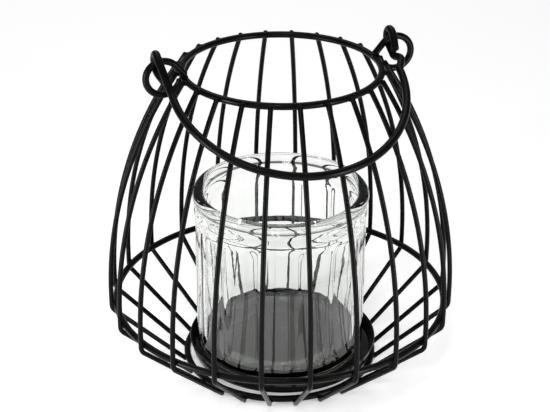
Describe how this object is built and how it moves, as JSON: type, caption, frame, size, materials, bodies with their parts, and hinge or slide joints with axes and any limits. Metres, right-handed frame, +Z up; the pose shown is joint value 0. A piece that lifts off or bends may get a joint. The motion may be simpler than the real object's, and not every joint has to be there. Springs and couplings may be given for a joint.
{
  "type": "candle lantern",
  "caption": "Round bellied wire-cage lantern with a lift-out glass cup on a shallow dish and a swinging wire bail handle.",
  "frame": {"origin": "on the surface that the lantern stands on, below the centre of the cage", "axes": "+Z up; X runs through the two eyelets that carry the handle, with eyelet_left at -X; the handle rests at the front, on the -Y side"},
  "size_m": [0.1988, 0.1988, 0.1997],
  "materials": {
    "powder_coated_wire": "satin black powder coat over steel wire",
    "gloss_black_sheet": "gloss black enamel on pressed steel sheet",
    "clear_glass": "clear pressed glass with soft upright flutes"
  },
  "bodies": {
    "cage": {"top_ring": "powder_coated_wire", "belly_ring": "powder_coated_wire", "base_ring": "powder_coated_wire", "rib_01": "powder_coated_wire", "rib_02": "powder_coated_wire", "rib_03": "powder_coated_wire", "rib_04": "powder_coated_wire", "rib_05": "powder_coated_wire", "rib_06": "powder_coated_wire", "rib_07": "powder_coated_wire", "rib_08": "powder_coated_wire", "rib_09": "powder_coated_wire", "rib_10": "powder_coated_wire", "rib_11": "powder_coated_wire", "rib_12": "powder_coated_wire", "rib_13": "powder_coated_wire", "rib_14": "powder_coated_wire", "rib_15": "powder_coated_wire", "rib_16": "powder_coated_wire", "rib_17": "powder_coated_wire", "rib_18": "powder_coated_wire", "rib_19": "powder_coated_wire", "rib_20": "powder_coated_wire", "rib_21": "powder_coated_wire", "rib_22": "powder_coated_wire", "rib_23": "powder_coated_wire", "rib_24": "powder_coated_wire", "eyelet_left": "powder_coated_wire", "eyelet_right": "powder_coated_wire", "candle_dish": "gloss_black_sheet"},
    "handle": {"handle": "powder_coated_wire"},
    "glass": {"glass_cup": "clear_glass"}
  },
  "joints": [
    {"name": "handle_swing", "type": "hinge", "parent": "cage", "child": "handle", "pos_m": [0, 0, 0.19298], "axis": [-1, 0, 0], "range_deg": [0, 233.1]},
    {"name": "glass_lift", "type": "slide", "parent": "cage", "child": "glass", "axis": [0, 0, 1], "range_m": [0, 0.18]}
  ]
}
